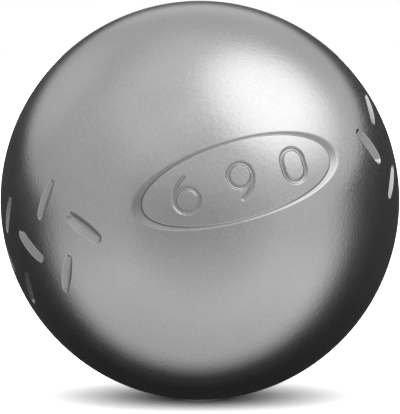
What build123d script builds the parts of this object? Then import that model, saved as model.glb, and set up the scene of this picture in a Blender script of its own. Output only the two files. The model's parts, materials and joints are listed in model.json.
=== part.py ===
"""Petanque boule: two steel half-shells and the weld that joins them, in millimetres, +Z up.

The ball's centre is the origin, and the ball lies as it came to rest: its belt of notches is tipped.
"""

import os
from math import asin, cos, degrees, pi, radians, sin

from build123d import *

# Ball
BALL_DIAMETER = 74.0
WALL = 6.06

# Weld between the rims: its width at the outer skin and at the inner one, and the bead inside
WELD_FACE = 1.4
WELD_ROOT = 0.9
ROOT_BEAD = 0.35

# How the belt lies: rolled about the front-to-back line, then leant towards the back
BELT_ROLL = 16.4
BELT_LEAN = 6.0

# Belt: three rows of notches, the middle one half a pitch out of step and deeper
NOTCHES_PER_TURN = 15
ROW_SPACING = 7.0
NOTCH_SLANT = 49.0
MIDDLE_NOTCH_DEPTH = 1.02
OUTER_NOTCH_DEPTH = 0.72

# Notch: a narrow leaf-shaped floor, its run between the middles of its round ends, the width of these and the
# bow of its long sides, and walls that slope up from it all round
NOTCH_RUN = 6.6
NOTCH_TIP = 0.22
NOTCH_BOW = 0.18
NOTCH_WALL_SLOPE = 40.0

# Oval panel in the belt: the bottom line of its border groove, measured along the skin, and the pitches
# of the belt, to either side of its middle, that it keeps free of notches
PANEL_HALF_LENGTH = 19.0
PANEL_HALF_WIDTH = 7.05
PANEL_PITCHES = 2

# Border groove: depth and the runs of its two walls, at the panel's ends and along its sides
END_DEPTH = 0.58
END_INNER_RUN = 0.6
END_OUTER_RUN = 1.5
SIDE_DEPTH = 0.19
SIDE_INNER_RUN = 0.3
SIDE_OUTER_RUN = 0.34

# Cutters stand this much proud of the skin, as a share of the cut's depth
CUTTER_EXCESS = 0.5
GROOVE_SECTIONS = 12

outer_radius = BALL_DIAMETER / 2
inner_radius = outer_radius - WALL
belt = Plane.XY.rotated((-BELT_LEAN, -BELT_ROLL, 0))
seam_axis = Axis(belt.origin, belt.y_dir)
pitch = 360 / NOTCHES_PER_TURN
panel_turn = pitch / 2


def skin_direction(longitude, latitude):
    """Direction to a spot on the belt, in degrees: longitude from the front shell's pole towards +X."""
    east = sin(radians(longitude)) * cos(radians(latitude))
    front = cos(radians(longitude)) * cos(radians(latitude))
    return belt.x_dir * east - belt.y_dir * front + belt.z_dir * sin(radians(latitude))


def notch_plane(longitude, latitude, slant, depth):
    """Plane of a notch's floor: X along the notch, Z out of the ball."""
    out = skin_direction(longitude, latitude)
    east = belt.z_dir.cross(out).normalized()
    north = out.cross(east)
    run = east * cos(radians(slant)) + north * sin(radians(slant))
    return Plane(out * (outer_radius - depth), x_dir=run, z_dir=out)


def notch_planes(row, depth):
    """Floors of a row's notches: the rows lean in turn to either side, and the panel's place is left free."""
    latitude = degrees(row * ROW_SPACING / outer_radius)
    slant = NOTCH_SLANT if row else -NOTCH_SLANT
    phase = panel_turn if row else 0.0
    planes = []
    for step in range(NOTCHES_PER_TURN):
        from_panel = (step * pitch + phase + 180) % 360 - 180
        pitches_off = round(abs(from_panel) / pitch, 3)
        if pitches_off >= PANEL_PITCHES:
            planes.append(notch_plane(from_panel + panel_turn, latitude, slant, depth))
    return planes


def notch_floors(planes):
    """Floors of notches: two long arcs that bow past the round ends and touch them."""
    end_radius = NOTCH_TIP / 2
    half_run = NOTCH_RUN / 2
    half_width = end_radius + NOTCH_BOW
    side_radius = (half_run**2 + half_width**2 - end_radius**2) / (2 * NOTCH_BOW)
    side_offset = side_radius - half_width
    reach = side_radius / (side_radius - end_radius)
    touch_x = half_run * reach
    touch_y = side_offset * reach - side_offset
    with BuildSketch(*planes) as floors:
        with BuildLine():
            ThreePointArc((-touch_x, touch_y), (0, half_width), (touch_x, touch_y))
            ThreePointArc((touch_x, touch_y), (half_run + end_radius, 0), (touch_x, -touch_y))
            ThreePointArc((touch_x, -touch_y), (0, -half_width), (-touch_x, -touch_y))
            ThreePointArc((-touch_x, -touch_y), (-half_run - end_radius, 0), (-touch_x, touch_y))
        make_face()
    return floors.sketch


def cut_notches():
    """Cut the belt's notches, row by row, from their floors out through the skin."""
    for row in (-1, 0, 1):
        depth = OUTER_NOTCH_DEPTH if row else MIDDLE_NOTCH_DEPTH
        floors = notch_floors(notch_planes(row, depth))
        extrude(floors, amount=depth * (1 + CUTTER_EXCESS), taper=NOTCH_WALL_SLOPE - 90, mode=Mode.SUBTRACT)


def groove_point(angle):
    """Direction to the bottom line of the panel's border: an oval drawn on the skin, at an angle round it."""
    along = degrees(PANEL_HALF_LENGTH * cos(radians(angle)) / outer_radius)
    across = degrees(PANEL_HALF_WIDTH * sin(radians(angle)) / outer_radius)
    return skin_direction(panel_turn + along / cos(radians(across)), across)


def groove_section(angle):
    """Section of the groove's cutter at an angle round the oval: a V, wider and deeper at the oval's ends."""
    small_step = 0.01
    out = groove_point(angle)
    forward = (groove_point(angle + small_step) - groove_point(angle - small_step)).normalized()
    plane = Plane(out * outer_radius, x_dir=forward.cross(out), z_dir=forward * -1)
    share = cos(radians(angle)) ** 2
    depth = SIDE_DEPTH + (END_DEPTH - SIDE_DEPTH) * share
    inner_run = SIDE_INNER_RUN + (END_INNER_RUN - SIDE_INNER_RUN) * share
    outer_run = SIDE_OUTER_RUN + (END_OUTER_RUN - SIDE_OUTER_RUN) * share
    proud = 1 + CUTTER_EXCESS
    top = depth * CUTTER_EXCESS
    with BuildSketch(plane) as section:
        with BuildLine():
            Polyline((-inner_run * proud, top), (0, -depth), (outer_run * proud, top), close=True)
        make_face()
    return section.sketch


def cut_panel_border():
    """Cut the oval groove round the panel, one end of the oval at a time."""
    for first in (-90, 90):
        angles = [first + 180 * step / GROOVE_SECTIONS for step in range(GROOVE_SECTIONS + 1)]
        loft([groove_section(angle) for angle in angles], mode=Mode.SUBTRACT)


def rim_point(radius, width):
    """Point of a rim, at this radius and half this width from the seam's plane, in the shell's profile."""
    rise = asin(width / 2 / radius)
    return radius * cos(rise), radius * sin(rise)


def mid_arc_point(radius, width):
    """Point half way along the arc from a rim to the pole."""
    rise = (asin(width / 2 / radius) + pi / 2) / 2
    return radius * cos(rise), radius * sin(rise)


def half_shell_profile(side):
    """Half of a shell's section: outer skin, inner skin and the tapered rim, on one side of the seam."""
    outer_rim = rim_point(outer_radius, WELD_FACE)
    inner_rim = rim_point(inner_radius, WELD_ROOT)
    outer_mid = mid_arc_point(outer_radius, WELD_FACE)
    inner_mid = mid_arc_point(inner_radius, WELD_ROOT)

    def at(point):
        return point[0], side * point[1]

    with BuildSketch(belt) as profile:
        with BuildLine():
            ThreePointArc(at(outer_rim), at(outer_mid), (0, side * outer_radius))
            Line((0, side * outer_radius), (0, side * inner_radius))
            ThreePointArc((0, side * inner_radius), at(inner_mid), at(inner_rim))
            Line(at(inner_rim), at(outer_rim))
        make_face()
    return profile.sketch


with BuildPart() as front_half_shell:
    revolve(half_shell_profile(-1), axis=seam_axis)
    cut_notches()
    cut_panel_border()

with BuildPart() as rear_half_shell:
    revolve(half_shell_profile(1), axis=seam_axis)
    cut_notches()

with BuildPart() as weld_seam:
    face_x, face_y = rim_point(outer_radius, WELD_FACE)
    root_x, root_y = rim_point(inner_radius, WELD_ROOT)
    with BuildSketch(belt):
        with BuildLine():
            ThreePointArc((face_x, -face_y), (outer_radius, 0), (face_x, face_y))
            Line((face_x, face_y), (root_x, root_y))
            ThreePointArc((root_x, root_y), (inner_radius - ROOT_BEAD, 0), (root_x, -root_y))
            Line((root_x, -root_y), (face_x, -face_y))
        make_face()
    revolve(axis=seam_axis)
    cut_notches()

os.makedirs("parts", exist_ok=True)
front_half_shell.part.label = "front_half_shell"
rear_half_shell.part.label = "rear_half_shell"
weld_seam.part.label = "weld_seam"
export_step(front_half_shell.part, "parts/front_half_shell.step")
export_step(rear_half_shell.part, "parts/rear_half_shell.step")
export_step(weld_seam.part, "parts/weld_seam.step")
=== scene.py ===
"""Petanque boule in Blender: two half-shells and the weld between them, in metres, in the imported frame.

The skins repeat the sizes that the solids are cut to. Each is sampled closely where something is cut
into it, as whole arrays, and carries the exact normals of its formula.
"""

import json
from math import asin, atan2, cos, pi, radians, sin, tan

import bpy
import numpy as np
from mathutils import Matrix, Vector
from mathutils.geometry import delaunay_2d_cdt


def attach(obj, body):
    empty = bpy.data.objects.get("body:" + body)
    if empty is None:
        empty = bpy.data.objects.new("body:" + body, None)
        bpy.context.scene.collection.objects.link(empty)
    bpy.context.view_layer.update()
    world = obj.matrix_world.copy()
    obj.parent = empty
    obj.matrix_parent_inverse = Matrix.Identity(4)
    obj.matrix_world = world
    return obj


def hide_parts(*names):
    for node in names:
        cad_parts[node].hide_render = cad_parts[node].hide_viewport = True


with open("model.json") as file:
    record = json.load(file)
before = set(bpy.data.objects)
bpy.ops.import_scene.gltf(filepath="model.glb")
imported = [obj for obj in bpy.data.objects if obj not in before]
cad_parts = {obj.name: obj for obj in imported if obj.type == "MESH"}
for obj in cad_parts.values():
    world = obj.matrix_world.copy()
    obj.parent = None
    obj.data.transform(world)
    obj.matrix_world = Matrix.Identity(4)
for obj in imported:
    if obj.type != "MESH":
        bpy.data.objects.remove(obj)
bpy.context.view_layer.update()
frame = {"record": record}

MM = 0.001
MICRON = 0.000001

# Ball: the seat that the record gives has the ball's own radius
BALL_RADIUS = frame["record"]["mounts"][0]["dims"]["r_mm"] * MM
WALL = 6.06 * MM
INNER_RADIUS = BALL_RADIUS - WALL

# Weld between the rims: its width at the outer skin and at the inner one, and the bead inside
WELD_FACE = 1.4 * MM
WELD_ROOT = 0.9 * MM
ROOT_BEAD = 0.35 * MM

# How the belt lies: rolled about the front-to-back line, then leant towards the back
BELT_ROLL = radians(16.4)
BELT_LEAN = radians(6.0)

# Belt: three rows of notches, the middle one half a pitch out of step and deeper
NOTCHES_PER_TURN = 15
PITCH = 2 * pi / NOTCHES_PER_TURN
ROW_SPACING = 7.0 * MM
NOTCH_SLANT = radians(49.0)
MIDDLE_DEPTH = 1.02 * MM
OUTER_DEPTH = 0.72 * MM

# Notch: a narrow leaf-shaped floor, its run between the middles of its round ends, the width of these
# and the bow of its long sides, and walls that slope up from it all round
NOTCH_RUN = 6.6 * MM
NOTCH_TIP = 0.22 * MM
NOTCH_BOW = 0.18 * MM
NOTCH_WALL_SLOPE = tan(radians(40.0))

# Oval panel in the belt: the bottom line of its border, and the pitches to either side without notches
PANEL_TURN = PITCH / 2
PANEL_PITCHES = 2
PANEL_HALF_LENGTH = 19.0 * MM
PANEL_HALF_WIDTH = 7.05 * MM

# Border groove: depth and the runs of its two walls, at the panel's ends and along its sides
END_DEPTH = 0.58 * MM
END_INNER_RUN = 0.6 * MM
END_OUTER_RUN = 1.5 * MM
SIDE_DEPTH = 0.19 * MM
SIDE_INNER_RUN = 0.3 * MM
SIDE_OUTER_RUN = 0.34 * MM

# Weight number in the panel: three digits, engraved with a round cutter. The arc of a six's stem is given
# by its radius, as a share of the height of the digit's line, and by the angle where it ends
DIGIT_HEIGHT = 7.0 * MM
DIGIT_WIDTH = 5.4 * MM
DIGIT_SPACING = 10.4 * MM
STROKE_WIDTH = 1.0 * MM
STROKE_DEPTH = 0.32 * MM
STEM_RADIUS_SHARE = 0.74
STEM_END = radians(112)

# Rounding of the cuts, as heights over which one face passes into the next
LIP_BLEND = 0.03 * MM
TIP_BLEND = 0.06 * MM
STROKE_LIP_BLEND = 0.04 * MM

# Rounding of the border, as shares of its depth and of its walls' runs
BORDER_BLEND = 0.09
BORDER_END_BLEND = 0.3
BORDER_BOTTOM = 0.08

# Sampling of the skins: steps and counts, and how far the plain skin keeps from the samples of a cut
SKIN_STEP = 0.95 * MM
PATCH_GAP = 0.6 * SKIN_STEP
STROKE_STEP = 0.11 * MM
STROKE_MARGIN = 2.5 * STROKE_STEP
SAME_POINT = 0.012 * MM
SAME_SPOT = 1e-9
RIM_GAP = 0.06 * MM
RIM_STEPS = 480
INNER_RINGS = 24
GROOVE_STEPS = 320
NOTCH_SIDE_STEPS = 26
NOTCH_END_STEPS = 12
LIP_ROUNDS = 8
WELD_FACE_STEPS = 7
WELD_BEAD_STEPS = 9
WELD_SHARP_ANGLE = radians(35)

# Sampling of a notch, from its middle line outwards: shares of the floor, shares of the wall, and
# distances from the lip
FLOOR_SHARES = np.array([0.3, 0.7])
WALL_SHARES = np.array([0.04, 0.12, 0.25, 0.4, 0.56, 0.72, 0.85, 0.93])
LIP_PLACES = np.array([-0.04, 0, 0.04, 0.09, 0.25, 0.6]) * MM

# Sampling across the border, in runs of its walls from the bottom line, and how many runs the plain skin
# keeps off that line, along the panel and across it
BORDER_INNER_PLACES = np.array([-1.7, -1.25, -1.1, -1.02, -0.94, -0.84, -0.6, -0.3, -0.12, -0.04])
BORDER_OUTER_PLACES = np.array([0.04, 0.12, 0.25, 0.42, 0.6, 0.72, 0.82,
                                0.92, 1.02, 1.12, 1.22, 1.32, 1.6])
BORDER_INNER_REACH = (2.2, 2.6)
BORDER_OUTER_REACH = (2.0, 2.8)

# Small steps for slopes: a distance, an angle, and a place across the border
SLOPE_STEP = 0.002 * MM
ANGLE_STEP = 1e-4
PLACE_STEP = 1e-3

# Noise: where nearly all of its values lie, in most places and for the grain's shade
NOISE_RANGE = (0.3, 0.7)
GRAIN_RANGE = (0.25, 0.75)

# Steel: cell sizes of its grain, turning lines and handling marks, how much the lines are drawn out, how
# far grain and handling change shade and roughness, and the painted shade of the cuts: darker colour that
# stands partly for the duller milled steel and partly for shade that falls in the recesses, full from
# the first depth down and gone above the second
GRAIN_CELL = 0.5 * MM
LINE_CELL = 0.42 * MM
LINE_STRETCH = (0.42, 0.42, 1.0)
HANDLING_CELL = 16 * MM
GRAIN_SHADE = 0.05
HANDLING_SHADE = 0.03
UNEVEN_ROUGHNESS = 0.02
CUT_PAINTED_SHADE = 0.75
CUT_DEPTHS = (0.14 * MM, 0.02 * MM)

# Scale inside: how much of it is metal, size of its blotches, their shades, roughness and relief
SCALE_METAL = 0.6
BLOTCH_CELL = 6 * MM
BLOTCH_SHADES = (0.035, 0.11)
BLOTCH_ROUGHNESS = (0.6, 0.85)
BLOTCH_RELIEF = 60 * MICRON

# Portrait: picture size in pixels, and where the ball's middle and radius are in it
PICTURE_WIDTH = 400
PICTURE_HEIGHT = 414
BALL_PIXEL_X = 199.9
BALL_PIXEL_Y = 200.38
BALL_PIXEL_RADIUS = 199.6
CAMERA_RISE = radians(3.6)
CAMERA_DISTANCE = 21 * BALL_RADIUS
SENSOR_WIDTH = 36.0
NEAREST_SEEN = 0.01

# Studio, as the polished ball mirrors it: brightness of its parts, where white is 1. The cloth gains to the
# right and from the floor, and keeps a share of its light round the camera. The dark cards have two
# levels, far off and at the ball's foot, where the ball's own shade falls on the cloth
CLOTH_LEVEL = 0.466
CLOTH_SIDE_GAIN = 0.082
FLOOR_GAIN = 0.219
DARK_LEVEL = (0.046, 0.019)
BOX_LEVEL = 0.860
SPILL_LEVEL = 0.035
GLOW_LEVEL = 0.113
SIDE_GLOW_LEVEL = 0.13
REAR_GLOW_LEVEL = 0.15
CAMERA_SIDE_SHARE = 0.6
OWN_SHADE = 0.483
OWN_SHADE_FALL = 3.0

# Floor: how much light it gives back, to the room and to the eye, and how far it goes
FLOOR_SHADE = 0.8
FLOOR_SEEN = 2.47
FLOOR_HALF = 60 * BALL_RADIUS

# Sky over the floor: soft, strongest between overhead and the front
SKY_TILT = radians(33)
SKY_FALL = 0.6
SKY_LEVEL = 1.4

# Studio: where the light box and the fainter glows are, each with the angles from its middle outside which
# it gives nothing and inside which it gives all
BOX_TOWARDS = Vector((0.564, -0.256, 0.785)).normalized()
BOX_SPREAD = (radians(41), radians(2))
GLOW_TOWARDS = Vector((0.107, -0.551, 0.828)).normalized()
GLOW_SPREAD = (radians(60), radians(39))
SIDE_GLOW_TOWARDS = Vector((-0.69, 0.47, 0.55)).normalized()
SIDE_GLOW_SPREAD = (radians(25), radians(3))
REAR_GLOW_TOWARDS = Vector((0.0, 0.90, 0.44)).normalized()
REAR_GLOW_SPREAD = (radians(23), radians(3))

# Studio: how far from the camera the cloth is darker, and the downward slopes between which the floor's
# gain comes in
CAMERA_SIDE_SPREAD = radians(44)
FLOOR_GAIN_FALL = (0.1, 0.6)

# Studio: where the ceiling and the cloth in front end and the dark cards begin, and how soft these edges
# are, the ceiling's to the left and to the right, the cloth's far off and at the ball's foot. At the foot
# the cloth ends further forward by the lead, and some light spills past its edge, to so many softnesses
CEILING_TOWARDS = Vector((-0.085, -0.482, 1.0)).normalized()
CEILING_PLACE = 0.02
CEILING_SOFTNESS = (0.08, 0.022)
CARD_TOWARDS = Vector((-0.041, -1.0, 0.0)).normalized()
CARD_PLACE = -0.059
CARD_SOFTNESS = (0.260, 0.079)
CARD_LEAD = 0.618
SPILL_REACH = 2.6

# Surround: radius and mesh of the dome, the holes at its poles, and its height over the floor
SURROUND_SIZE = 10 * BALL_RADIUS
SURROUND_STEPS = 96
SURROUND_RINGS = 97
POLE_GAP = 0.0001
SURROUND_LIFT = 0.2 * MM


def belt_axes():
    """East, rear and north of the belt: the frame's axes, rolled about Y and then leant about X."""
    roll = Matrix.Rotation(-BELT_ROLL, 3, "Y")
    lean = Matrix.Rotation(-BELT_LEAN, 3, "X")
    return np.array((lean @ roll).transposed())


EAST, REAR, NORTH = belt_axes()


def skin_direction(longitude, latitude):
    """Unit vectors to spots on the belt: longitude turns from the front eastwards, latitude rises north."""
    level = np.cos(latitude)
    east = (np.sin(longitude) * level)[..., None] * EAST
    front = (np.cos(longitude) * level)[..., None] * -REAR
    return east + front + np.sin(latitude)[..., None] * NORTH


def unit(vectors):
    """Vectors divided by their lengths."""
    return vectors / np.linalg.norm(vectors, axis=-1, keepdims=True)


def soft_positive(height, blend):
    """The height where it is positive, and nought elsewhere, with a parabola over the blend either side."""
    bent = (np.clip(height, -blend, blend) + blend) ** 2 / (4 * blend)
    return np.where(height > blend, height, bent)


def notch_axes(rows):
    """Out, run and side vectors of the notches in some rows.

    The middle row leans the other way, and the panel stays free.
    """
    row = np.array(rows)[:, None]
    step = np.arange(NOTCHES_PER_TURN)[None, :]
    phase = np.where(row == 0, 0.0, PANEL_TURN)
    from_panel = (step * PITCH + phase + pi) % (2 * pi) - pi
    pitches_off = np.round(np.abs(from_panel) / PITCH, 3)
    kept = pitches_off >= PANEL_PITCHES
    latitude = (row * ROW_SPACING / BALL_RADIUS + 0 * step)[kept]
    slant = (np.where(row == 0, -NOTCH_SLANT, NOTCH_SLANT) + 0 * step)[kept][:, None]
    out = skin_direction(from_panel[kept] + PANEL_TURN, latitude)
    east = unit(np.cross(NORTH, out))
    run = east * np.cos(slant) + np.cross(out, east) * np.sin(slant)
    return out, run, np.cross(out, run)


def notch_side_arc():
    """Radius of the arc of a notch floor's long side, and how far its middle lies past the floor's middle.

    The arc bows past the round ends and touches both: its middle, an end's and the floor's make a right
    triangle.
    """
    half_width = NOTCH_TIP / 2 + NOTCH_BOW
    radius = ((NOTCH_RUN / 2) ** 2 + half_width**2 - (NOTCH_TIP / 2) ** 2) / (2 * NOTCH_BOW)
    return radius, radius - half_width


def notch_floor_edge():
    """Outline of a notch's floor: its points, and the heading in which each looks away from the floor.

    It goes along one long side and round one end, and the other half is the same turned by half a turn.
    """
    radius, offset = notch_side_arc()
    side_turn = atan2(NOTCH_RUN / 2, offset)
    on_side = np.linspace(pi / 2 + side_turn, pi / 2 - side_turn, NOTCH_SIDE_STEPS, endpoint=False)
    on_end = np.linspace(pi / 2 - side_turn, side_turn - pi / 2, NOTCH_END_STEPS, endpoint=False)
    heading = np.concatenate([on_side, on_end])
    size = np.repeat([radius, NOTCH_TIP / 2], [NOTCH_SIDE_STEPS, NOTCH_END_STEPS])
    middle_along = np.repeat([0.0, NOTCH_RUN / 2], [NOTCH_SIDE_STEPS, NOTCH_END_STEPS])
    middle_across = np.repeat([-offset, 0.0], [NOTCH_SIDE_STEPS, NOTCH_END_STEPS])
    along = middle_along + size * np.cos(heading)
    across = middle_across + size * np.sin(heading)
    whole_along = np.concatenate([along, -along])
    whole_across = np.concatenate([across, -across])
    return whole_along, whole_across, np.concatenate([heading, heading + pi])


def notch_height(along, across, depth):
    """Height of the skin over the ball's middle, along a notch's out vector.

    It is the ball's own height, the root of R2 - x2 - y2, less what of it stands over the cutter: a flat
    floor, and walls that rise with the distance from the floor's edge, an arc on each side and at each end.
    """
    radius, offset = notch_side_arc()
    ball = np.sqrt(BALL_RADIUS**2 - along**2 - across**2)
    past_side = np.abs(across) + offset
    by_end = np.abs(along) * offset > past_side * NOTCH_RUN / 2
    off_end = np.hypot(np.abs(along) - NOTCH_RUN / 2, across) - NOTCH_TIP / 2
    off_floor = np.where(by_end, off_end, np.hypot(along, past_side) - radius)
    cutter = BALL_RADIUS - depth + NOTCH_WALL_SLOPE * soft_positive(off_floor, TIP_BLEND)
    return ball - soft_positive(ball - cutter, LIP_BLEND)


def notch_lip(depth):
    """Distance from each point of a notch floor's edge, the way that it looks, to the lip on the skin.

    The wall's rise to the ball's height there, over its slope, worked out a few times in turn.
    """
    floor_along, floor_across, heading = notch_floor_edge()
    lip = np.full_like(heading, depth / NOTCH_WALL_SLOPE)
    for _ in range(LIP_ROUNDS):
        squared = (floor_along + lip * np.cos(heading)) ** 2 + (floor_across + lip * np.sin(heading)) ** 2
        rise = np.sqrt(BALL_RADIUS**2 - squared) - BALL_RADIUS + depth
        lip = rise / NOTCH_WALL_SLOPE
    return lip


def notch_skins(rows, depth):
    """Points and normals of the skin in and round all notches of some rows.

    The grid's one parameter goes round the floor's edge, and the other goes outwards from its middle line:
    over the floor, up the wall to the lip, and onto the skin.
    """
    floor_along, floor_across, heading = notch_floor_edge()
    lip = notch_lip(depth)
    middle = np.clip(floor_along, -NOTCH_RUN / 2, NOTCH_RUN / 2)
    share = FLOOR_SHARES[:, None]
    wall = lip * WALL_SHARES[:, None]
    edge = lip + LIP_PLACES[:, None]
    reach = np.concatenate([0 * lip[None, :], wall, edge])
    along = np.concatenate([middle + share * (floor_along - middle), floor_along + reach * np.cos(heading)])
    across = np.concatenate([share * floor_across, floor_across + reach * np.sin(heading)])
    height = notch_height(along, across, depth)
    step = SLOPE_STEP
    tilt_along = notch_height(along - step, across, depth) - notch_height(along + step, across, depth)
    tilt_across = notch_height(along, across - step, depth) - notch_height(along, across + step, depth)
    axes = np.stack(notch_axes(rows))[:, :, None, None, :]
    place = np.stack([height, along, across])[:, None, :, :, None]
    normal = np.stack([np.full_like(along, 2 * step), tilt_along, tilt_across])[:, None, :, :, None]
    points = (place * axes).sum(axis=0)
    normals = unit((normal * axes).sum(axis=0))
    return points.reshape(-1, 3), normals.reshape(-1, 3)


def near_notch(points):
    """True where a point of the skin lies within a notch's own samples."""
    out, run, side = notch_axes((-1, 0, 1))
    past_end = np.maximum(np.abs(points @ run.T) - NOTCH_RUN / 2, 0)
    off_line = np.hypot(past_end, points @ side.T)
    margin = NOTCH_TIP / 2 + NOTCH_BOW + notch_lip(MIDDLE_DEPTH).max() + PATCH_GAP
    return ((off_line < margin) & (points @ out.T > 0)).any(axis=1)


def panel_point(along, across, depth):
    """Points by their distances along and across the panel, on the skin, and their depth under it."""
    latitude = across / BALL_RADIUS
    longitude = PANEL_TURN + along / BALL_RADIUS / np.cos(latitude)
    return skin_direction(longitude, latitude) * (BALL_RADIUS - depth)[..., None]


def panel_place(points):
    """Distances along and across the panel of points on the skin, the way back from panel_point."""
    direction = unit(points)
    latitude = np.arcsin(direction @ NORTH)
    longitude = np.arctan2(direction @ EAST, -(direction @ REAR))
    turn = (longitude - PANEL_TURN + pi) % (2 * pi) - pi
    return turn * np.cos(latitude) * BALL_RADIUS, latitude * BALL_RADIUS


def outward_normals(surface, first, second, first_step, second_step):
    """Normals of a surface of two parameters: the cross product of its slopes, turned out of the ball."""
    slope = surface(first + first_step, second) - surface(first - first_step, second)
    other = surface(first, second + second_step) - surface(first, second - second_step)
    normals = unit(np.cross(slope, other))
    inward = (normals * surface(first, second)).sum(axis=-1, keepdims=True) < 0
    return np.where(inward, -normals, normals)


def groove_surface(angle, place):
    """Points of the panel's border: angle goes round the oval, place across it, from -1 at the inner lip,
    past 0 at the bottom line, to 1 at the outer lip. The V is widest and deepest at the oval's two ends.
    """
    end_run = np.where(place < 0, END_INNER_RUN, END_OUTER_RUN)
    side_run = np.where(place < 0, SIDE_INNER_RUN, SIDE_OUTER_RUN)
    along = (PANEL_HALF_LENGTH + place * end_run) * np.cos(angle)
    across = (PANEL_HALF_WIDTH + place * side_run) * np.sin(angle)
    depth = SIDE_DEPTH + (END_DEPTH - SIDE_DEPTH) * np.cos(angle) ** 2
    round_bottom = np.hypot(place, BORDER_BOTTOM)
    outer_blend = BORDER_BLEND + (BORDER_END_BLEND - BORDER_BLEND) * np.cos(angle) ** 2
    blend = np.where(place < 0, BORDER_BLEND, outer_blend)
    return panel_point(along, across, depth * soft_positive(1 - round_bottom, blend))


def groove_skin():
    """Points and normals of the panel's border: rows round the oval, closest at its lips and bottom."""
    place = np.concatenate([BORDER_INNER_PLACES, BORDER_OUTER_PLACES])[:, None]
    angle = np.linspace(0, 2 * pi, GROOVE_STEPS, endpoint=False)[None, :]
    angle, place = np.broadcast_arrays(angle, place)
    points = groove_surface(angle, place)
    normals = outward_normals(groove_surface, angle, place, ANGLE_STEP, PLACE_STEP)
    return points.reshape(-1, 3), normals.reshape(-1, 3)


def near_groove(points):
    """True where a point of the skin lies within the border's own samples."""
    along, across = panel_place(points)
    inner_length = PANEL_HALF_LENGTH - BORDER_INNER_REACH[0] * END_INNER_RUN
    inner_width = PANEL_HALF_WIDTH - BORDER_INNER_REACH[1] * SIDE_INNER_RUN
    outer_length = PANEL_HALF_LENGTH + BORDER_OUTER_REACH[0] * END_OUTER_RUN
    outer_width = PANEL_HALF_WIDTH + BORDER_OUTER_REACH[1] * SIDE_OUTER_RUN
    inside = np.hypot(along / inner_length, across / inner_width) < 1
    outside = np.hypot(along / outer_length, across / outer_width) > 1
    return ~inside & ~outside & (points @ REAR < 0)


def arc_distance(x, y, centre_x, centre_y, radius, first, last):
    """Distance to an arc that turns left from its first angle to its last one, ends included."""
    angle = (np.arctan2(y - centre_y, x - centre_x) - first) % (2 * pi)
    on_arc = np.abs(np.hypot(x - centre_x, y - centre_y) - radius)
    ends = np.array([first, last])[:, None, None]
    end_x = centre_x + radius * np.cos(ends)
    end_y = centre_y + radius * np.sin(ends)
    to_end = np.hypot(x.reshape(1, 1, -1) - end_x, y.reshape(1, 1, -1) - end_y).min(axis=(0, 1))
    return np.where(angle <= last - first, on_arc, to_end.reshape(x.shape))


def six_distance(x, y):
    """Distance to the line of a six: a round bowl, and a wide arc from its left side that bends over."""
    bowl = (DIGIT_WIDTH - STROKE_WIDTH) / 2
    bowl_y = bowl - (DIGIT_HEIGHT - STROKE_WIDTH) / 2
    sweep = (DIGIT_HEIGHT - STROKE_WIDTH) * STEM_RADIUS_SHARE
    round_bowl = np.abs(np.hypot(x, y - bowl_y) - bowl)
    stem = arc_distance(x, y, sweep - bowl, bowl_y, sweep, STEM_END, pi)
    return np.minimum(round_bowl, stem)


def nought_distance(x, y):
    """Distance to the line of a nought: two half circles joined by short straight sides."""
    radius = (DIGIT_WIDTH - STROKE_WIDTH) / 2
    straight = (DIGIT_HEIGHT - STROKE_WIDTH) / 2 - radius
    return np.abs(np.hypot(x, np.maximum(np.abs(y) - straight, 0)) - radius)


def stroke_distance(along, across):
    """Distance to the nearest line of the number 690: a six, a six turned upside down, and a nought."""
    six = six_distance(along + DIGIT_SPACING, across)
    nine = six_distance(-along, -across)
    nought = nought_distance(along - DIGIT_SPACING, across)
    return np.minimum(np.minimum(six, nine), nought)


def stroke_surface(along, across):
    """Points of the panel's floor, which sinks in a parabola under the number's lines."""
    share = stroke_distance(along, across) / (STROKE_WIDTH / 2)
    depth = soft_positive(STROKE_DEPTH * (1 - share**2), STROKE_LIP_BLEND)
    return panel_point(along, across, depth)


def stroke_skin():
    """Points and normals of the number: a square lattice, kept where it is close to a line."""
    reach_along = DIGIT_SPACING + DIGIT_WIDTH
    lattice_along = np.arange(-reach_along, reach_along, STROKE_STEP)
    lattice_across = np.arange(-DIGIT_HEIGHT, DIGIT_HEIGHT, STROKE_STEP)
    along, across = np.meshgrid(lattice_along, lattice_across)
    close = stroke_distance(along, across) < STROKE_WIDTH / 2 + STROKE_MARGIN
    along, across = along[close], across[close]
    points = stroke_surface(along, across)
    return points, outward_normals(stroke_surface, along, across, SLOPE_STEP, SLOPE_STEP)


def near_stroke(points):
    """True where a point of the skin lies within the number's own samples."""
    along, across = panel_place(points)
    close = stroke_distance(along, across) < STROKE_WIDTH / 2 + PATCH_GAP
    return close & (points @ REAR < 0)


def plain_skin(side):
    """Points of a half-ball, ring by ring from its pole to the rim, and the same vectors as normals."""
    rise = asin(WELD_FACE / 2 / BALL_RADIUS)
    ring_count = int((pi / 2 - rise) * BALL_RADIUS / SKIN_STEP)
    fall = np.linspace(0, pi / 2 - rise, ring_count + 1)[:-1]
    counts = np.maximum(np.round(2 * pi * np.sin(fall) * BALL_RADIUS / SKIN_STEP), 1).astype(int)
    ring = np.repeat(np.arange(len(counts)), counts)
    first = np.repeat(np.cumsum(counts) - counts, counts)
    turn = 2 * pi * (np.arange(len(ring)) - first + 0.5 * (ring % 2)) / counts[ring]
    normals = seam_point(np.sin(fall[ring]), side * np.cos(fall[ring]), turn)
    points = normals * BALL_RADIUS
    free = ~(near_notch(points) | near_groove(points) | near_stroke(points))
    return points[free], normals[free]


def seam_point(radius, rear, turn):
    """Points by their distance from the seam's axis, their place along it, and the turn about it."""
    around = np.cos(turn)[..., None] * EAST + np.sin(turn)[..., None] * NORTH
    return np.asarray(radius)[..., None] * around + np.asarray(rear)[..., None] * REAR


def rim_place(radius, width):
    """Distance from the seam's axis, and from its plane, of a rim that is this wide at this radius."""
    rise = asin(width / 2 / radius)
    return radius * cos(rise), radius * sin(rise)


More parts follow.
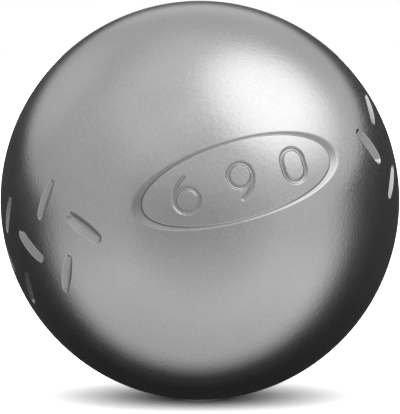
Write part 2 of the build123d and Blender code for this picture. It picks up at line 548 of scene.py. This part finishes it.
def turned_faces(rings, start, steps):
    """Triangles between rings of points that follow each other, two for each square of the grid."""
    ring = start + np.arange(rings - 1)[:, None] * steps
    here = np.arange(steps)[None, :]
    there = (here + 1) % steps
    corners = [ring + here, ring + there, ring + steps + there, ring + steps + here]
    a, b, c, d = [corner.reshape(-1) for corner in corners]
    return np.concatenate([np.stack([a, b, c], axis=1), np.stack([a, c, d], axis=1)])


def facing(points, faces, away):
    """The faces, turned where needed so that each one's normal goes the way of the given vectors."""
    first, second, third = (points[faces[:, corner]] for corner in range(3))
    turned = (np.cross(second - first, third - first) * away).sum(axis=1) < 0
    return np.where(turned[:, None], faces[:, ::-1], faces)


def outer_skin(side):
    """Points, normals and triangles of a half-shell's outer skin, with the rim's ring first.

    The points are joined by a Delaunay triangulation of their stereographic picture, seen from the other
    pole, which keeps circles round and so joins each point to its nearest neighbours on the ball.
    """
    rim_radius, rim_rear = rim_place(BALL_RADIUS, WELD_FACE)
    turn = np.linspace(0, 2 * pi, RIM_STEPS, endpoint=False)
    rim = seam_point(np.full(RIM_STEPS, rim_radius), np.full(RIM_STEPS, side * rim_rear), turn)
    skins = [notch_skins((0,), MIDDLE_DEPTH), notch_skins((-1, 1), OUTER_DEPTH),
             groove_skin(), stroke_skin(), plain_skin(side)]
    points = np.concatenate([skin[0] for skin in skins])
    normals = np.concatenate([skin[1] for skin in skins])
    inside = side * (points @ REAR) > rim_rear + RIM_GAP
    points, normals = points[inside], normals[inside]
    cell = np.round(points / SAME_POINT).astype(np.int64)
    _, single = np.unique(cell, axis=0, return_index=True)
    points = np.concatenate([rim, points[np.sort(single)]])
    normals = np.concatenate([unit(rim), normals[np.sort(single)]])
    direction = unit(points)
    stretch = 2 / (1 + side * (direction @ REAR))
    picture = np.stack([direction @ EAST, direction @ NORTH], axis=1) * stretch[:, None]
    joined = delaunay_2d_cdt([Vector(spot) for spot in picture.tolist()], [], [], 0, SAME_SPOT)
    source = np.array([originals[0] for originals in joined[3]])
    faces = source[np.array(joined[2])]
    return points, normals, facing(points, faces, points[faces[:, 0]])


def inner_skin(side, start):
    """Points and triangles that close a half-shell: its tapered rim and inner skin, turned about the seam.

    The points follow the rim's ring, which is the first of start, and end in one point at the pole.
    """
    root_radius, root_rear = rim_place(INNER_RADIUS, WELD_ROOT)
    fall = np.linspace(atan2(root_radius, root_rear), 0, INNER_RINGS)[:-1]
    turn = np.linspace(0, 2 * pi, RIM_STEPS, endpoint=False)
    radius = INNER_RADIUS * np.sin(fall)[:, None] + 0 * turn
    rear = side * INNER_RADIUS * np.cos(fall)[:, None] + 0 * turn
    rings = seam_point(radius, rear, turn[None, :]).reshape(-1, 3)
    pole = side * INNER_RADIUS * REAR
    first_ring = np.arange(RIM_STEPS)
    band = turned_faces(2, 0, RIM_STEPS)
    band = np.where(band >= RIM_STEPS, band - RIM_STEPS + start, band)
    last_ring = start + len(rings) - RIM_STEPS + first_ring
    cap = np.stack([last_ring, np.roll(last_ring, -1), np.full(RIM_STEPS, start + len(rings))], axis=1)
    wall = turned_faces(len(fall), start, RIM_STEPS)
    return np.vstack([rings, pole]), np.concatenate([band, wall, cap])


def place_mesh(name, points, faces, materials, node, material_index=None, normals=None):
    """Put arrays of points and triangles into a piece that stands for a node of the frame."""
    mesh = bpy.data.meshes.new(name)
    mesh.from_pydata(points.tolist(), [], faces.tolist(), shade_flat=False)
    for material in materials:
        mesh.materials.append(material)
    if material_index is not None:
        mesh.polygons.foreach_set("material_index", material_index)
    if normals is not None:
        mesh.normals_split_custom_set(normals.tolist())
    piece = bpy.data.objects.new(name, mesh)
    bpy.context.collection.objects.link(piece)
    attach(piece, "root")
    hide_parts(node)
    return piece


def half_shell(name, side, node, skin_material, inside_material):
    """A half-shell: its outer skin with exact normals, closed by the rim and the inner skin."""
    points, normals, faces = outer_skin(side)
    inner_points, inner_faces = inner_skin(side, len(points))
    all_points = np.vstack([points, inner_points])
    middles = all_points[inner_faces].mean(axis=1)
    rim_face = (inner_faces < RIM_STEPS).any(axis=1)
    away = np.where(rim_face[:, None], -side * REAR, -middles)
    inner_faces = facing(all_points, inner_faces, away)
    corner_normals = np.vstack([normals[faces].reshape(-1, 3), np.zeros((inner_faces.size, 3))])
    index = np.repeat([0, 1], [len(faces), len(inner_faces)])
    return place_mesh(name, all_points, np.vstack([faces, inner_faces]), [skin_material, inside_material],
                      node, index, corner_normals)


def weld_ring(name, node, material):
    """The weld: a closed profile turned about the seam: an arc outside, two flanks and a bead inside."""
    face_rise = asin(WELD_FACE / 2 / BALL_RADIUS)
    root_radius, root_rear = rim_place(INNER_RADIUS, WELD_ROOT)
    outer = np.linspace(-face_rise, face_rise, WELD_FACE_STEPS)
    bead = np.linspace(1, -1, WELD_BEAD_STEPS)
    bead_radius = root_radius - ROOT_BEAD * (1 - bead**2)
    profile_radius = np.concatenate([BALL_RADIUS * np.cos(outer), bead_radius])
    profile_rear = np.concatenate([BALL_RADIUS * np.sin(outer), root_rear * bead])
    turn = np.linspace(0, 2 * pi, RIM_STEPS, endpoint=False)
    radius = profile_radius[:, None] + 0 * turn
    rear = profile_rear[:, None] + 0 * turn
    points = seam_point(radius, rear, turn[None, :]).reshape(-1, 3)
    rings = len(profile_radius)
    faces = turned_faces(rings + 1, 0, RIM_STEPS) % (rings * RIM_STEPS)
    middle_radius = (BALL_RADIUS + INNER_RADIUS) / 2
    middles = points[faces].mean(axis=1)
    flat = middles - (middles @ REAR)[:, None] * REAR
    faces = facing(points, faces, middles - unit(flat) * middle_radius)
    piece = place_mesh(name, points, faces, [material], node)
    piece.data.set_sharp_from_angle(angle=WELD_SHARP_ANGLE)
    return piece


def add(tree, kind, values=None, **settings):
    """A new shader node with its settings, and its inputs set to values or joined to other outputs."""
    node = tree.nodes.new(kind)
    for setting, value in settings.items():
        setattr(node, setting, value)
    for name, value in (values or {}).items():
        if isinstance(value, bpy.types.NodeSocket):
            tree.links.new(value, node.inputs[name])
        else:
            node.inputs[name].default_value = value
    return node


def math(tree, operation, first, second=0.0):
    """Output of a math node."""
    return add(tree, "ShaderNodeMath", {0: first, 1: second}, operation=operation).outputs[0]


def spread(tree, value, low, high, new_low, new_high, smooth=False):
    """Output of a node that carries low to high over to new_low to new_high, clamped."""
    limits = {"Value": value, "From Min": low, "From Max": high, "To Min": new_low, "To Max": new_high}
    interpolation = "SMOOTHSTEP" if smooth else "LINEAR"
    return add(tree, "ShaderNodeMapRange", limits, interpolation_type=interpolation).outputs["Result"]


def grey(tree, level):
    """Output of a colour that has the same level in red, green and blue."""
    channels = {"Red": level, "Green": level, "Blue": level}
    return add(tree, "ShaderNodeCombineColor", channels).outputs["Color"]


def metal(tree, level, metallic, roughness, relief):
    """A metal surface of a grey level, with its relief, joined to the material's output."""
    values = {"Base Color": grey(tree, level), "Metallic": metallic, "Roughness": roughness,
              "Normal": relief.outputs["Normal"]}
    shader = add(tree, "ShaderNodeBsdfPrincipled", values)
    add(tree, "ShaderNodeOutputMaterial", {"Surface": shader.outputs["BSDF"]})


def noise(tree, vector, scale, detail, roughness=0.5):
    """Output of a noise texture, about a half in the middle."""
    values = {"Vector": vector, "Scale": scale, "Detail": detail, "Roughness": roughness}
    return add(tree, "ShaderNodeTexNoise", values).outputs["Fac"]


def new_material(name):
    """A material with an empty node tree, and that tree."""
    material = bpy.data.materials.new(name)
    material.use_nodes = True
    material.node_tree.nodes.clear()
    return material, material.node_tree


def seam_coordinates(tree, position):
    """Position turned so that Z lies along the seam's axis, the one that the ball was turned on."""
    to_seam = Matrix([EAST, NORTH, REAR]).to_euler()
    return add(tree, "ShaderNodeMapping", {"Vector": position, "Rotation": to_seam}).outputs["Vector"]


def satin_steel(name, tint, roughness, grain_height, line_height):
    """Steel, turned and brushed satin: fine grain, faint turning lines, handling marks, and cuts darker in
    colour, partly duller milled steel and partly painted shade for the recesses.
    """
    material, tree = new_material(name)
    position = add(tree, "ShaderNodeTexCoord").outputs["Object"]
    radius = add(tree, "ShaderNodeVectorMath", {0: position}, operation="LENGTH").outputs["Value"]
    cut = spread(tree, radius, BALL_RADIUS - CUT_DEPTHS[0], BALL_RADIUS - CUT_DEPTHS[1], 1.0, 0.0)
    grain = noise(tree, position, 1 / GRAIN_CELL, detail=3.0, roughness=0.6)
    turned = add(tree, "ShaderNodeMapping",
                 {"Vector": seam_coordinates(tree, position), "Scale": LINE_STRETCH}).outputs["Vector"]
    lines = noise(tree, turned, 1 / LINE_CELL, detail=1.5)
    handling = noise(tree, position, 1 / HANDLING_CELL, detail=3.0)
    mottle = spread(tree, grain, *GRAIN_RANGE, 1 - GRAIN_SHADE, 1 + GRAIN_SHADE)
    wear = spread(tree, handling, *NOISE_RANGE, 1 - HANDLING_SHADE, 1 + HANDLING_SHADE)
    # Painted shade: colour darkened down in the cuts, partly duller milled steel, partly shade in the
    # recesses
    cut_painted_shade = spread(tree, cut, 0.0, 1.0, 1.0, CUT_PAINTED_SHADE)
    level = math(tree, "MULTIPLY", wear, mottle)
    level = math(tree, "MULTIPLY", math(tree, "MULTIPLY", level, cut_painted_shade), tint)
    worn = spread(tree, handling, *NOISE_RANGE, -UNEVEN_ROUGHNESS, UNEVEN_ROUGHNESS)
    grainy = spread(tree, grain, *NOISE_RANGE, -UNEVEN_ROUGHNESS, UNEVEN_ROUGHNESS)
    rough = math(tree, "ADD", math(tree, "ADD", worn, grainy), roughness)
    turning = add(tree, "ShaderNodeBump", {"Height": lines, "Distance": line_height})
    relief = add(tree, "ShaderNodeBump",
                 {"Height": grain, "Distance": grain_height, "Normal": turning.outputs["Normal"]})
    metal(tree, level, metallic=1.0, roughness=rough, relief=relief)
    return material


def forge_scale():
    """Inside of the shells: the dark, dull skin that pressing and heat treatment leave on the steel."""
    material, tree = new_material("forge_scale")
    position = add(tree, "ShaderNodeTexCoord").outputs["Object"]
    blotch = noise(tree, position, 1 / BLOTCH_CELL, detail=5.0, roughness=0.6)
    level = spread(tree, blotch, *NOISE_RANGE, *BLOTCH_SHADES)
    rough = spread(tree, blotch, *NOISE_RANGE, *BLOTCH_ROUGHNESS)
    relief = add(tree, "ShaderNodeBump", {"Height": blotch, "Distance": BLOTCH_RELIEF})
    metal(tree, level, metallic=SCALE_METAL, roughness=rough, relief=relief)
    return material


def stage_mesh(name, points, faces, material):
    """A mesh that belongs to the studio and not to the object."""
    mesh = bpy.data.meshes.new(name)
    mesh.from_pydata(points.tolist(), [], faces.tolist(), shade_flat=False)
    mesh.materials.append(material)
    thing = bpy.data.objects.new(name, mesh)
    bpy.context.collection.objects.link(thing)
    return thing


def seen_directly(tree):
    """One for the eye, straight or by way of a mirror or glass, and nought for light on matt surfaces."""
    path = add(tree, "ShaderNodeLightPath").outputs
    mirrored = math(tree, "MAXIMUM", path["Is Glossy Ray"], path["Is Transmission Ray"])
    return math(tree, "MAXIMUM", path["Is Camera Ray"], mirrored)


def floor_finish():
    """Pale floor: matt, and brightened to white for the eye, with the ball's shadow left on it."""
    material, tree = new_material("pale_floor")
    level = spread(tree, seen_directly(tree), 0.0, 1.0, FLOOR_SHADE, FLOOR_SEEN)
    shader = add(tree, "ShaderNodeBsdfDiffuse", {"Color": grey(tree, level)})
    add(tree, "ShaderNodeOutputMaterial", {"Surface": shader.outputs["BSDF"]})
    return material


def lay_floor():
    """The floor under the ball, a square wide enough to pass out of sight."""
    corners = np.array([[-1, -1, 0], [1, -1, 0], [1, 1, 0], [-1, 1, 0]]) * FLOOR_HALF
    corners[:, 2] = -BALL_RADIUS
    return stage_mesh("floor", corners, np.array([[0, 1, 2, 3]]), floor_finish())


def surround_finish():
    """What the polished ball mirrors: pale cloth in front and overhead, a soft box up to the right, fainter
    glows, and dark cards low behind, as they are stood round bright metal.
    """
    material, tree = new_material("surround")
    position = add(tree, "ShaderNodeTexCoord").outputs["Object"]
    distance = add(tree, "ShaderNodeVectorMath", {0: position}, operation="LENGTH").outputs["Value"]
    direction = add(tree, "ShaderNodeVectorMath", {0: position}, operation="NORMALIZE").outputs["Vector"]

    def toward(vector):
        """How far the direction goes along a vector, as its dot product with it."""
        pair = {0: direction, 1: vector}
        return add(tree, "ShaderNodeVectorMath", pair, operation="DOT_PRODUCT").outputs["Value"]

    nearness = math(tree, "DIVIDE", BALL_RADIUS, distance)
    lead = math(tree, "MULTIPLY", nearness, CARD_LEAD)
    ahead = math(tree, "SUBTRACT", math(tree, "SUBTRACT", toward(CARD_TOWARDS), lead), CARD_PLACE)
    softness = spread(tree, nearness, 0.0, 1.0, *CARD_SOFTNESS)
    past_edge = math(tree, "DIVIDE", ahead, softness)
    in_front = spread(tree, past_edge, -1.0, 1.0, 0.0, 1.0, smooth=True)
    spill = spread(tree, past_edge, -SPILL_REACH, 0.0, 0.0, SPILL_LEVEL, smooth=True)
    above = math(tree, "SUBTRACT", toward(CEILING_TOWARDS), CEILING_PLACE)
    ceiling_softness = spread(tree, toward((1.0, 0.0, 0.0)), -1.0, 1.0, *CEILING_SOFTNESS)
    overhead = spread(tree, math(tree, "DIVIDE", above, ceiling_softness), -1.0, 1.0, 0.0, 1.0, smooth=True)
    lit = math(tree, "MAXIMUM", in_front, overhead)
    to_camera = toward((0.0, -cos(CAMERA_RISE), sin(CAMERA_RISE)))
    camera_side = spread(tree, to_camera, cos(CAMERA_SIDE_SPREAD), 1.0, 1.0, CAMERA_SIDE_SHARE)
    cloth = math(tree, "ADD", math(tree, "MULTIPLY", toward((1.0, 0.0, 0.0)), CLOTH_SIDE_GAIN), CLOTH_LEVEL)
    floor = spread(tree, toward((0.0, 0.0, -1.0)), *FLOOR_GAIN_FALL, 0.0, FLOOR_GAIN, smooth=True)
    own_shade = spread(tree, math(tree, "POWER", nearness, OWN_SHADE_FALL), 0.0, 1.0, 1.0, 1 - OWN_SHADE)
    below = math(tree, "MULTIPLY", math(tree, "ADD", cloth, floor), own_shade)

    def light_patch(towards, limits, level):
        """A round patch of light: nothing outside the first angle from its middle, all inside the second."""
        return spread(tree, toward(towards), cos(limits[0]), cos(limits[1]), 0.0, level, smooth=True)

    pale = math(tree, "MULTIPLY", below, camera_side)
    for patch in (light_patch(BOX_TOWARDS, BOX_SPREAD, BOX_LEVEL),
                  light_patch(GLOW_TOWARDS, GLOW_SPREAD, GLOW_LEVEL),
                  light_patch(SIDE_GLOW_TOWARDS, SIDE_GLOW_SPREAD, SIDE_GLOW_LEVEL),
                  light_patch(REAR_GLOW_TOWARDS, REAR_GLOW_SPREAD, REAR_GLOW_LEVEL)):
        pale = math(tree, "ADD", pale, patch)
    dark = spread(tree, nearness, 0.0, 1.0, *DARK_LEVEL)
    level = math(tree, "ADD", math(tree, "MULTIPLY", pale, lit), math(tree, "ADD", dark, spill))
    from_floor = math(tree, "GREATER_THAN", add(tree, "ShaderNodeLightPath").outputs["Diffuse Depth"], 0.5)
    shader = add(tree, "ShaderNodeEmission", {"Strength": spread(tree, from_floor, 0.0, 1.0, level, 0.0)})
    add(tree, "ShaderNodeOutputMaterial", {"Surface": shader.outputs["Emission"]})
    material.cycles.emission_sampling = "NONE"
    return material


def hang_surround():
    """The surround: a dome about the ball, flat where it meets the floor, seen only in the metal."""
    fall = np.linspace(POLE_GAP, pi - POLE_GAP, SURROUND_RINGS)[:, None]
    turn = np.linspace(0, 2 * pi, SURROUND_STEPS, endpoint=False)[None, :]
    level = np.sin(fall)
    points = np.stack([level * np.cos(turn), level * np.sin(turn), np.cos(fall) + 0 * turn], axis=-1)
    points = points.reshape(-1, 3) * SURROUND_SIZE
    points[:, 2] = np.maximum(points[:, 2], -BALL_RADIUS + SURROUND_LIFT)
    faces = turned_faces(SURROUND_RINGS, 0, SURROUND_STEPS)
    surround = stage_mesh("surround", points, faces, surround_finish())
    surround.visible_camera = False
    surround.visible_diffuse = False
    surround.visible_shadow = False
    return surround


def light_room():
    """Soft light from overhead for the floor, in a room that the eye and bright metal see as white."""
    world = bpy.data.worlds.new("room")
    bpy.context.scene.world = world
    world.use_nodes = True
    tree = world.node_tree
    direction = add(tree, "ShaderNodeTexCoord").outputs["Generated"]
    pair = {0: direction, 1: (0.0, -sin(SKY_TILT), cos(SKY_TILT))}
    upward = add(tree, "ShaderNodeVectorMath", pair, operation="DOT_PRODUCT").outputs["Value"]
    fall = math(tree, "POWER", math(tree, "MAXIMUM", upward, 0.0), SKY_FALL)
    sky = math(tree, "MULTIPLY", fall, SKY_LEVEL)
    strength = spread(tree, seen_directly(tree), 0.0, 1.0, sky, 1.0)
    background = tree.nodes["Background"]
    background.inputs["Color"].default_value = (1.0, 1.0, 1.0, 1.0)
    tree.links.new(strength, background.inputs["Strength"])


def set_camera():
    """A long lens, in line with the belt's front, aimed so that the ball's middle falls on its pixel."""
    pixels_per_slope = BALL_PIXEL_RADIUS * np.sqrt((CAMERA_DISTANCE / BALL_RADIUS) ** 2 - 1)
    data = bpy.data.cameras.new("portrait")
    data.sensor_fit = "HORIZONTAL"
    data.sensor_width = SENSOR_WIDTH
    data.lens = SENSOR_WIDTH * pixels_per_slope / PICTURE_WIDTH
    data.clip_start = NEAREST_SEEN
    camera = bpy.data.objects.new("portrait", data)
    bpy.context.collection.objects.link(camera)
    camera.location = Vector((0, -cos(CAMERA_RISE), sin(CAMERA_RISE))) * CAMERA_DISTANCE
    pan = atan2(PICTURE_WIDTH / 2 - BALL_PIXEL_X, pixels_per_slope)
    tilt = atan2(PICTURE_HEIGHT / 2 - BALL_PIXEL_Y, pixels_per_slope)
    camera.rotation_euler = (pi / 2 - CAMERA_RISE - tilt, 0, -pan)
    bpy.context.scene.camera = camera


skin_steel = satin_steel("satin_steel", tint=0.6, roughness=0.22,
                         grain_height=8 * MICRON, line_height=22 * MICRON)
weld_steel = satin_steel("ground_weld", tint=0.58, roughness=0.25,
                         grain_height=10 * MICRON, line_height=22 * MICRON)
inside_steel = forge_scale()
half_shell("front_shell_skin", -1, "front_half_shell", skin_steel, inside_steel)
half_shell("rear_shell_skin", 1, "rear_half_shell", skin_steel, inside_steel)
weld_ring("weld_skin", "weld_seam", weld_steel)

lay_floor()
hang_surround()
light_room()
set_camera()
bpy.context.scene.view_settings.view_transform = "Standard"
